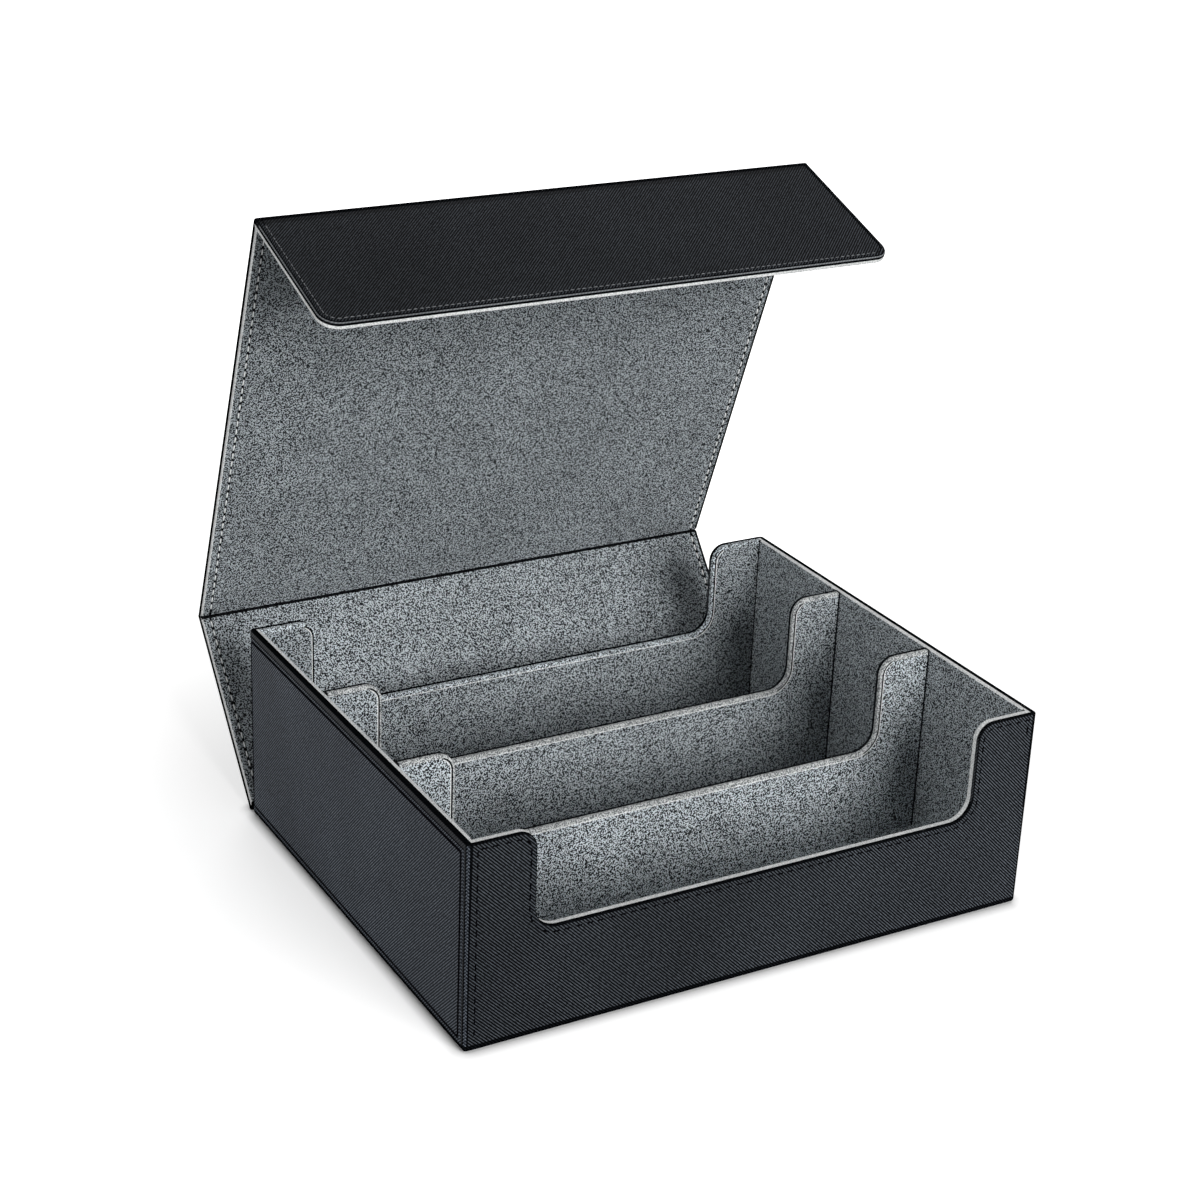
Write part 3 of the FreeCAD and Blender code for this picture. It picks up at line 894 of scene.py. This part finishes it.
def press_hem(half):
    """Marks a hem, its line and a pale edge along the notch on the flat sides, and trims the sheet."""
    pick("FACE", lambda f: abs(f.normal.y) > 0.99)
    for thickness, depth, mark in HEM_STEPS:
        bpy.ops.mesh.inset(thickness=thickness, depth=depth)
        mark_ring(mark)
    for place, keep in (((-half, 0, 0), (1, 0, 0)), ((half, 0, 0), (-1, 0, 0)),
                        ((0, 0, FLOOR_BOTTOM), (0, 0, 1))):
        cut(place, keep=keep)


def on_outline(edge, half):
    """True for an edge of the sheet's top outline: not at its foot, and not at its two ends."""
    at_foot = near(edge.verts[0].co.z, FLOOR_BOTTOM) and near(edge.verts[1].co.z, FLOOR_BOTTOM)
    at_end = near(abs(edge.verts[0].co.x), half) and near(abs(edge.verts[1].co.x), half)
    return edge.is_boundary and not at_foot and not at_end


def at_fold(edge):
    """True for an edge between a flat side of a cross wall and its turned top."""
    sides = sorted(abs(f.normal.y) for f in edge.link_faces)
    return len(sides) == 2 and sides[0] < 0.1 and sides[1] > 0.9


def hem_finishes(rim):
    """A hem's finishes: painted shade on its climbing line, its band, and a painted highlight below the tabs'
    tops.
    """
    below_tabs = TRAY_TOP - 2 * HEM - HEM_EDGE
    return ((napped_shade, lambda f: f.material_index == LINE_MARK and abs(f.normal.x) > 0.15),
            (rim, lambda f: f.material_index in (HEM_MARK, LINE_MARK)),
            (napped_edge, lambda f: f.material_index == EDGE_MARK and f.center.z < below_tabs))


def in_corner(face):
    """True for the narrow strip where a lining meets its neighbour in a corner of the tray, painted in shade.
    """
    return abs(face.center.y) > ROOM_DEPTH - CORNER_STRIP and near(abs(face.center.x), ROOM_LENGTH, LINING)


def finish_lining(piece, nap, rim, rim_test, outward):
    """Turns the sheet's outside to the room, thickens it and paints a highlight on its turned top in a paler
    finish.
    """
    bpy.ops.mesh.select_all(action="SELECT")
    bpy.ops.mesh.normals_make_consistent(inside=False)
    shape = bmesh.from_edit_mesh(piece.data)
    largest = max(shape.faces, key=lambda f: f.calc_area())
    if largest.normal.dot(Vector(outward)) < 0:
        bpy.ops.mesh.flip_normals()
    thicken(piece, LINING)
    finish_shape(piece)
    dress(piece, nap, (napped_shade, in_corner), (rim, rim_test), *hem_finishes(rim))


def is_top(face):
    """True on the turned top of a cross wall."""
    return abs(face.normal.y) < 0.8 and face.center.z > NOTCH_LOW - MM


for way, side, turn, rim in ((-1, "front", TURN_OVER, napped_edge), (1, "back", BACK_TURN, back_rim)):
    lining = start_notched(side + "_lining", CROSS_HALF, way * ROOM_DEPTH)
    press_hem(CROSS_HALF)
    pull("EDGE", lambda e: on_outline(e, CROSS_HALF), (0, way * (HALF_DEPTH - turn - ROOM_DEPTH), 0))
    round_edges(at_fold, RIM, 3)
    finish_lining(lining, wall_nap[side], rim, is_top, (0, -way, 0))
    hand_over(lining, "tray", "lining", side + "_wall_lining")

# %% Divider linings
for side in ("front", "rear"):
    low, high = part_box(side + "_divider_lining")
    lining = start_notched(side + "_divider_wrap", ROOM_LENGTH, low.y)
    pick("FACE", lambda f: True)
    bpy.ops.mesh.extrude_region_move(TRANSFORM_OT_translate={"value": (0, high.y - low.y, 0)})
    bpy.ops.mesh.select_all(action="SELECT")
    bpy.ops.mesh.normals_make_consistent(inside=False)
    press_hem(ROOM_LENGTH)
    round_edges(at_fold, RIM, 3)
    for end in (-1, 1):
        cut((end * (ROOM_LENGTH - CORNER_STRIP), 0, 0), normal=(1, 0, 0))
    cut((0, high.y - FAR_LINE, 0), normal=(0, 1, 0))
    thicken(lining, LINING)
    finish_shape(lining)
    dress(lining, divider_nap[side], (napped_shade, lambda f: abs(f.center.x) > ROOM_LENGTH - CORNER_STRIP),
          (napped_shade, lambda f: is_top(f) and f.center.y > high.y - FAR_LINE), (napped_rim, is_top),
          *hem_finishes(napped_rim))
    hand_over(lining, "tray", "lining", side + "_divider_lining")

# %% [markdown]
# The ends have no notch. Their lining is one upright sheet, turned over the inner part of the wall's top
# until it meets the skin that comes over from outside. Beside the front and back walls the turned strip
# runs on into the corner. The floors of the rows are thin napped sheets, a little fuller in their middle.

# %% End linings and floors
END_RIM = 0.75 * MM
FLOOR_BORDER, FLOOR_RISE, FLOOR_ARRIS = 3 * MM, 0.3 * MM, 0.3 * MM

for way, side in ((-1, "left"), (1, "right")):
    lining = start_block(side + "_lining", (way * ROOM_LENGTH - MM, -ROOM_DEPTH, FLOOR_BOTTOM),
                         (way * ROOM_LENGTH + MM, ROOM_DEPTH, TRAY_TOP))
    drop(lambda f: f.normal.x * way > -0.9)
    pick("FACE", lambda f: True)
    bpy.ops.transform.translate(value=(way * MM, 0, 0))
    for end in (-1, 1):
        cut((0, end * (ROOM_DEPTH - CORNER_STRIP), 0), normal=(0, 1, 0))
    pull("EDGE", lambda e: near(mid(e).z, TRAY_TOP), (way * (CROSS_HALF - ROOM_LENGTH), 0, 0))
    last = HALF_LENGTH - END_TURN - CROSS_HALF
    bpy.ops.mesh.extrude_region_move(TRANSFORM_OT_translate={"value": (way * last, 0, 0)})
    for end, turn in ((-1, TURN_OVER), (1, BACK_TURN)):
        pull("EDGE", lambda e: near(mid(e).y, end * ROOM_DEPTH) and abs(mid(e).x) > CROSS_HALF,
             (0, end * (HALF_DEPTH - turn - ROOM_DEPTH), 0))
    round_edges(lambda e: near(mid(e).z, TRAY_TOP) and near(abs(mid(e).x), ROOM_LENGTH), END_RIM, 3)
    finish_lining(lining, end_nap, napped_edge,
                  lambda f: abs(f.normal.x) < 0.85 and f.center.z > TRAY_TOP - 2 * MM, (-way, 0, 0))
    hand_over(lining, "tray", "lining", side + "_wall_lining")

for row in ("front", "middle", "rear"):
    low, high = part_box(row + "_row_floor_lining")
    row_floor = start_block(row + "_row_floor", low, high)
    pick("FACE", lambda f: f.normal.z > 0.9)
    bpy.ops.mesh.inset(thickness=FLOOR_BORDER)
    bpy.ops.mesh.inset(thickness=FLOOR_BORDER, depth=FLOOR_RISE)
    finish_shape(row_floor, FLOOR_ARRIS)
    dress(row_floor, napped_lining)
    hand_over(row_floor, "tray", "lining", row + "_row_floor_lining")

# %% [markdown]
# The cover's panels
#
# Back, top and flap are made the same way, lying flat, and are then turned up at their folds. The skin is a
# shallow pan of coated cloth round the board's edges, with a rounded outer edge and a pressed seam. Its
# cloth is a darker copy of the tray's, which paints shade. Its steep rounds and the cloth beside the folds
# take darker copies still, which paint their shade. The lining is a napped sheet in the pan, with the
# same seam on its own side. Both are drawn longer than the panel and cut at the folds, so that the seams run
# on to the fold without a turn. The flap's lining lies against the front wall when the box is shut, so its
# stitches are sunk in their seam. One facet of the flap's rounded edge is pale, a painted highlight. The
# right borders of the cover are dark, as painted shade. The linings' pale borders paint highlights, and
# their seam channels are painted in shade.

# %% Sizes of the cover


def angle_between(lower, upper):
    return math.atan2(upper.z - lower.z, upper.y - lower.y)


back_angle = angle_between(base_fold, rear_fold)
top_angle = angle_between(rear_fold, front_fold)
flap_shut = next(j["range_deg"][0] for j in frame["joints"] if j["name"] == "front_fold")
flap_angle = top_angle + math.radians(90 + flap_shut)
flap_way = Vector((0, math.cos(flap_angle), math.sin(flap_angle)))
flap_length = max((v.co - front_fold).dot(flap_way) for v in nodes["flap_skin"].data.vertices)
panels = {
    "back_panel": (base_fold, back_angle, (rear_fold - base_fold).length, False),
    "top_panel": (rear_fold, top_angle, (front_fold - rear_fold).length, False),
    "flap": (front_fold, flap_angle, flap_length, True),
}
COVER_LINING = 1.8 * MM
LINING_BACK = ROLL - COVER_LINING
EDGE_RADIUS, EDGE_SHOULDER = 1.6 * MM, 0.4 * MM
FLAP_RADIUS = 9 * MM
FOLD_GAP = 0.08 * MM
LINING_STEP, LINING_RADIUS = 0.7 * MM, 0.4 * MM
LINING_SETBACK, LINING_BORDER = 4.2 * MM, 2.5 * MM
SEWN_FROM = 4 * MM
COVER_STITCH, NAP_STITCH = 0.72, 1.2
FOLD_SHADE = (1.8 * MM, 4.6 * MM)
for name, (fold, angle, length, free) in panels.items():
    print(name, round(length / MM, 1), "mm long at", round(math.degrees(angle), 1), "degrees")

# %% Panel skins and linings


def start_panel(name, half, length, free, bottom, top):
    """A flat block over a panel, too long at its folds, with the round corners of a free end."""
    far = length if free else length + SPARE
    piece = start_block(name, (-half, -SPARE, bottom), (half, far, top))
    if free:
        round_edges(lambda e: near(mid(e).y, far) and near(mid(e).z, (bottom + top) / 2), FLAP_RADIUS, 10)
    return piece


def stand(piece, fold, angle):
    """Turns a flat piece up about its fold, with its place kept in its mesh."""
    bpy.ops.object.select_all(action="DESELECT")
    piece.select_set(True)
    bpy.context.view_layer.objects.active = piece
    piece.rotation_euler = (angle, 0, 0)
    piece.location = fold
    bpy.ops.object.transform_apply(location=True, rotation=True, scale=True)


def make_panel_skin(name, length, free):
    """The pan of coated cloth, and the line of its seam."""
    piece = start_panel(name, COVER_HALF, length, free, -ROLL, LINING_BACK)
    drop(lambda f: f.normal.z > 0.9)
    round_edges(lambda e: near(e.verts[0].co.z, -ROLL) and near(e.verts[1].co.z, -ROLL), EDGE_RADIUS, 4)
    pick("FACE", lambda f: f.normal.z < -0.999)
    line = press_seam(SEAM_SETBACK - EDGE_RADIUS, EDGE_SHOULDER)
    cut((0, FOLD_GAP / 2, -ROLL), keep=(0, COVER - COVER_LINING, -0.3 * MM))
    if not free:
        cut((0, length - FOLD_GAP / 2, -ROLL), keep=(0, -(COVER - COVER_LINING), -0.3 * MM))
    for bend in FOLD_SHADE:
        for place in (bend, length - bend)[:1 if free else 2]:
            cut((0, place, 0), normal=(0, 1, 0))
    thicken(piece, SKIN)
    finish_shape(piece, 0.2 * MM)
    # Steep rounds, the cloth beside the folds and the flap's right border take dark copies that paint their
    # shade. One facet of the flap's rounded edge takes a pale copy that paints a highlight.
    to_fold = lambda f: f.center.y if free else min(f.center.y, length - f.center.y)
    in_shade = lambda f: free and f.center.x > COVER_HALF - EDGE_RADIUS - EDGE_SHOULDER
    is_steep = lambda f: f.normal.z > -0.35 or 0.7 < -f.normal.z < 0.92
    takes_painted_shade = lambda f: is_steep(f) or to_fold(f) < FOLD_SHADE[0] or in_shade(f)
    dress(piece, cover_cloth_shaded_copy, (painted_shade_cloth, takes_painted_shade), (shaded_cloth, lambda f: to_fold(f) < FOLD_SHADE[1]),
          (painted_highlight_cloth, lambda f: free and 0.4 < -f.normal.z < 0.7))
    return piece, line


def make_panel_lining(name, length, free, nap):
    """The napped sheet inside the pan, mitred at its folds, and the line of its seam."""
    half = COVER_HALF if free else COVER_HALF - LINING_STEP
    piece = start_panel(name, half, length, free, LINING_BACK, ROLL)
    round_edges(lambda e: near(e.verts[0].co.z, ROLL) and near(e.verts[1].co.z, ROLL), LINING_RADIUS, 3)
    pick("FACE", lambda f: f.normal.z > 0.999)
    line = press_seam(LINING_SETBACK - LINING_RADIUS)
    cut((0, FOLD_GAP, 0), keep=(0, 1, -1), fill=True)
    if not free:
        cut((0, length - FOLD_GAP, 0), keep=(0, -1, -1), fill=True)
        cut((half - EDGE_RADIUS, 0, 0), normal=(1, 0, 0))
    finish_shape(piece)
    # The right border and the seam's channel are painted in shade, and the rounded border takes the pale
    # finish that paints a highlight.
    at_end = lambda f: free and f.center.y > length - LINING_BORDER
    inside = lambda f: abs(f.center.x) < half - LINING_BORDER and not at_end(f)
    in_shade = lambda f: not free and f.center.x > half - EDGE_RADIUS
    in_seam_line = lambda f: 0.5 < f.normal.z < 0.97 and (free or inside(f))
    dress(piece, nap, (napped_shade, lambda f: in_shade(f) or in_seam_line(f)),
          (napped_edge, lambda f: not inside(f) and abs(f.normal.z) < 0.97))
    return piece, line


for name, (fold, angle, length, free) in panels.items():
    last = length + SPARE if free else length - SEWN_FROM
    along = lambda p: SEWN_FROM < p.y < last
    outer, outer_line = make_panel_skin(name + "_cloth", length, free)
    inner, inner_line = make_panel_lining(name + "_nap", length, free, panel_nap.get(name, cover_nap))
    is_sewn = lambda p: along(p) and not (free and p.x > COVER_HALF - UNSEWN)
    outer_seam = sew(name + "_cloth_stitches", outer_line, (0, 0, -1), lit_thread, is_sewn, COVER_STITCH)
    size, lift = (1.0, 0.0) if free else (NAP_STITCH, LIFT)
    inner_seam = sew(name + "_nap_stitches", inner_line, (0, 0, 1), pale_thread, along, size, lift)
    for piece in (outer, inner, outer_seam, inner_seam):
        stand(piece, fold, angle)
    hand_over(outer, name, "coated_cloth", name + "_skin")
    hand_over(inner, name, "lining", name + "_lining")
    hand_over(outer_seam, name, "coated_cloth")
    hand_over(inner_seam, name, "lining")

# %% [markdown]
# The folds
#
# Between two panels the coated cloth rolls round the fold's axis. A thin upright face is spun about that
# axis from one panel's outside to the next, so the roll meets both without a step. The spin tool counts its
# angle backwards, so the end is taken from the start. Inside, the lining dips into a narrow crease.

# %% Rolls and creases
ROLL_CORE, ROLL_CORNER = 0.45 * MM, 1.4 * MM
ROLL_STEPS = 14
CREASE_DEPTH, CREASE_SIDE, CREASE_HEIGHT, CREASE_CLOTH = 0.5 * MM, 1.1 * MM, 1.0 * MM, 0.3 * MM


def ray(angle):
    return Vector((0, math.cos(angle), math.sin(angle)))


def make_roll(name, fold, start, end):
    """The outer cloth of a fold, spun from one panel's outward direction to the next."""
    middle = fold + ray(start) * (ROLL + ROLL_CORE) / 2
    piece = start_sheet(name, middle, 2 * COVER_HALF, ROLL - ROLL_CORE, start)
    round_corners(lambda v: (v.co - fold).dot(ray(start)) > ROLL - 0.1 * MM, ROLL_CORNER, 4)
    pick("FACE", lambda f: True)
    bpy.ops.mesh.spin(steps=ROLL_STEPS, angle=start - end, center=fold, axis=(1, 0, 0))
    bpy.ops.mesh.select_all(action="SELECT")
    bpy.ops.mesh.remove_doubles(threshold=0.001 * MM)
    bpy.ops.mesh.normals_make_consistent(inside=False)
    finish_shape(piece)
    # The roll takes the near-black copy of the cloth, which paints the shade where it turns away.
    dress(piece, painted_shade_cloth)
    return piece


def make_crease(name, fold, lower, upper):
    """The lining's dip between two panels at their angles."""
    inward = [ray(a + math.pi / 2) for a in (lower, upper)]
    away = [-ray(lower), ray(upper)]
    lip = [fold + away[k] * (ROLL + FOLD_GAP) + inward[k] * ROLL for k in (0, 1)]
    wall = [fold + away[k] * CREASE_SIDE + inward[k] * CREASE_HEIGHT for k in (0, 1)]
    bottom = fold + (inward[0] + inward[1]).normalized() * CREASE_DEPTH
    rows = [lip[0], wall[0], bottom, wall[1], lip[1]]
    first = rows[1] - rows[0]
    width = 2 * (COVER_HALF - LINING_STEP)
    piece = start_sheet(name, (rows[0] + rows[1]) / 2, width, first.length, math.atan2(first.z, first.y))
    pick("EDGE", lambda e: (mid(e) - rows[1]).length < 0.01 * MM)
    for here, there in zip(rows[1:], rows[2:]):
        bpy.ops.mesh.extrude_region_move(TRANSFORM_OT_translate={"value": there - here})
    bpy.ops.mesh.select_all(action="SELECT")
    bpy.ops.mesh.normals_make_consistent(inside=False)
    shape = bmesh.from_edit_mesh(piece.data)
    shape.faces.ensure_lookup_table()
    if sum((f.normal for f in shape.faces), Vector()).dot(bottom - fold) < 0:
        bpy.ops.mesh.flip_normals()
    thicken(piece, CREASE_CLOTH, even=False)
    finish_shape(piece)
    # The crease is painted in shade.
    dress(piece, napped_shade)
    return piece


QUARTER = math.pi / 2
folds = [
    ("base_fold", base_fold, "tray", "back_panel", 0.0, back_angle),
    ("rear_fold", rear_fold, "back_panel", "top_panel", back_angle, top_angle),
    ("front_fold", front_fold, "top_panel", "flap", top_angle, flap_angle),
]
for name, fold, lower_body, upper_body, lower, upper in folds:
    start, end = fold + ray(lower - QUARTER) * ROLL, fold + ray(upper - QUARTER) * ROLL
    roll_piece = make_roll(name + "_roll", fold, lower - QUARTER, upper - QUARTER)
    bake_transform(roll_piece)
    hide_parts(name + "_spine")
    print(roll_piece.name, "-", len(roll_piece.data.polygons), "faces")
    if lower_body == "tray":
        continue
    crease = make_crease(name + "_crease", fold, lower, upper)
    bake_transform(crease)

# %% [markdown]
# The boards and magnets stay as the CAD made them, because their shapes are right. They only need their
# finishes.

# %% Boards and magnets
bpy.data.objects.remove(stitch)
for name, node in nodes.items():
    finish = grey_board if name.endswith("_board") else magnet_steel if name.endswith("_magnets") else None
    if finish:
        for slot in node.material_slots:
            slot.material = finish
boards, rows = (sum(n.endswith(kind) for n in nodes) for kind in ("_board", "_magnets"))
print(boards, "boards and", rows, "rows of magnets")
